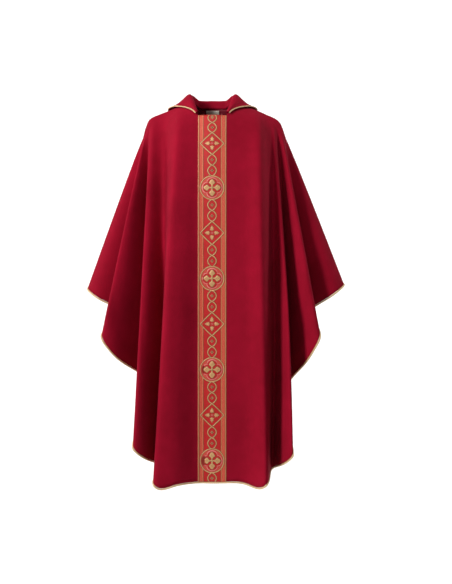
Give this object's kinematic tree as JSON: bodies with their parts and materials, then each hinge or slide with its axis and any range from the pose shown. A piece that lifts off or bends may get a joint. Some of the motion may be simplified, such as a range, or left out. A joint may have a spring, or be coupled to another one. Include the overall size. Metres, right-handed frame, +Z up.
{
  "type": "chasuble",
  "caption": "Wide Gothic chasuble in red wool, hung as worn, with a turned-down collar, a woven orphrey band front and back, and gold piping on its hem.",
  "frame": {"origin": "middle of the neck opening, on the line through the neck ends of the two shoulder seams", "axes": "+Z up through the neck opening; the front faces -Y; +X is the wearer's left"},
  "size_m": [0.8176, 0.3947, 1.2492],
  "materials": {
    "wool": "matte twill with a soft sheen",
    "orphrey_weave": "woven band, red and gold",
    "gold_piping": "gold thread, satin",
    "facing_cloth": "matte",
    "canvas": "matte",
    "ribbon": "satin",
    "loop_tape": "satin"
  },
  "bodies": {
    "vestment": {"front_left_panel": "wool", "front_right_panel": "wool", "back_left_panel": "wool", "back_right_panel": "wool", "front_orphrey": "orphrey_weave", "back_orphrey": "orphrey_weave", "front_hem_facing": "facing_cloth", "back_hem_facing": "facing_cloth", "front_neck_facing": "facing_cloth", "back_neck_facing": "facing_cloth", "front_hem_piping": "gold_piping", "back_hem_piping": "gold_piping", "left_shoulder_tape": "canvas", "right_shoulder_tape": "canvas", "under_collar": "wool", "collar_interlining": "canvas", "upper_collar": "wool", "collar_piping": "gold_piping", "neck_label": "ribbon"},
    "loop": {"hanger_loop": "loop_tape"}
  },
  "joints": [
    {"name": "loop_swing", "type": "hinge", "parent": "vestment", "child": "loop", "pos_m": [0, 0.04421, -0.03394], "axis": [-1, 0, 0], "range_deg": [0, 125]}
  ]
}
